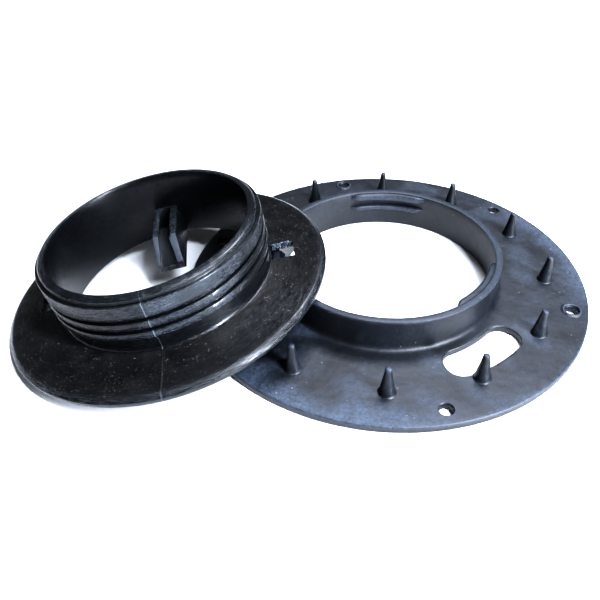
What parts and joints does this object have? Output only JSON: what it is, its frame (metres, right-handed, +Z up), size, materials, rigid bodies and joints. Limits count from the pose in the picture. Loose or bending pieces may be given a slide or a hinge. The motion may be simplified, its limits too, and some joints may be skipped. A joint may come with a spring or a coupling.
{
  "type": "toilet flange",
  "caption": "Two-part black plastic toilet flange: a flat floor plate with a spiked rim and threaded collar, and a flanged threaded spigot leaning on it.",
  "frame": {"origin": "centre of the floor plate's bore, at the plate's underside, which lies on the floor", "axes": "+Z up along the plate's bore, +X to the right and +Y away from the side the flange is usually seen from; the loose threaded flange lies towards -X"},
  "size_m": [0.2491, 0.1872, 0.0487],
  "materials": {
    "plate_plastic": "matte, slate black, lightly scuffed",
    "flange_plastic": "satin black, scratched on the thread and dusty on the disc"
  },
  "bodies": {
    "spiked_plate": {"spiked_plate": "plate_plastic"},
    "threaded_flange": {"threaded_flange": "flange_plastic"}
  },
  "joints": [
    {"name": "screw_turn", "type": "hinge", "parent": "spiked_plate", "child": "threaded_flange", "pos_m": [-0.0918, -0.0292, 0.01203], "axis": [-0.169, -0.0399, 0.9848], "range_deg": [0, 720]}
  ]
}
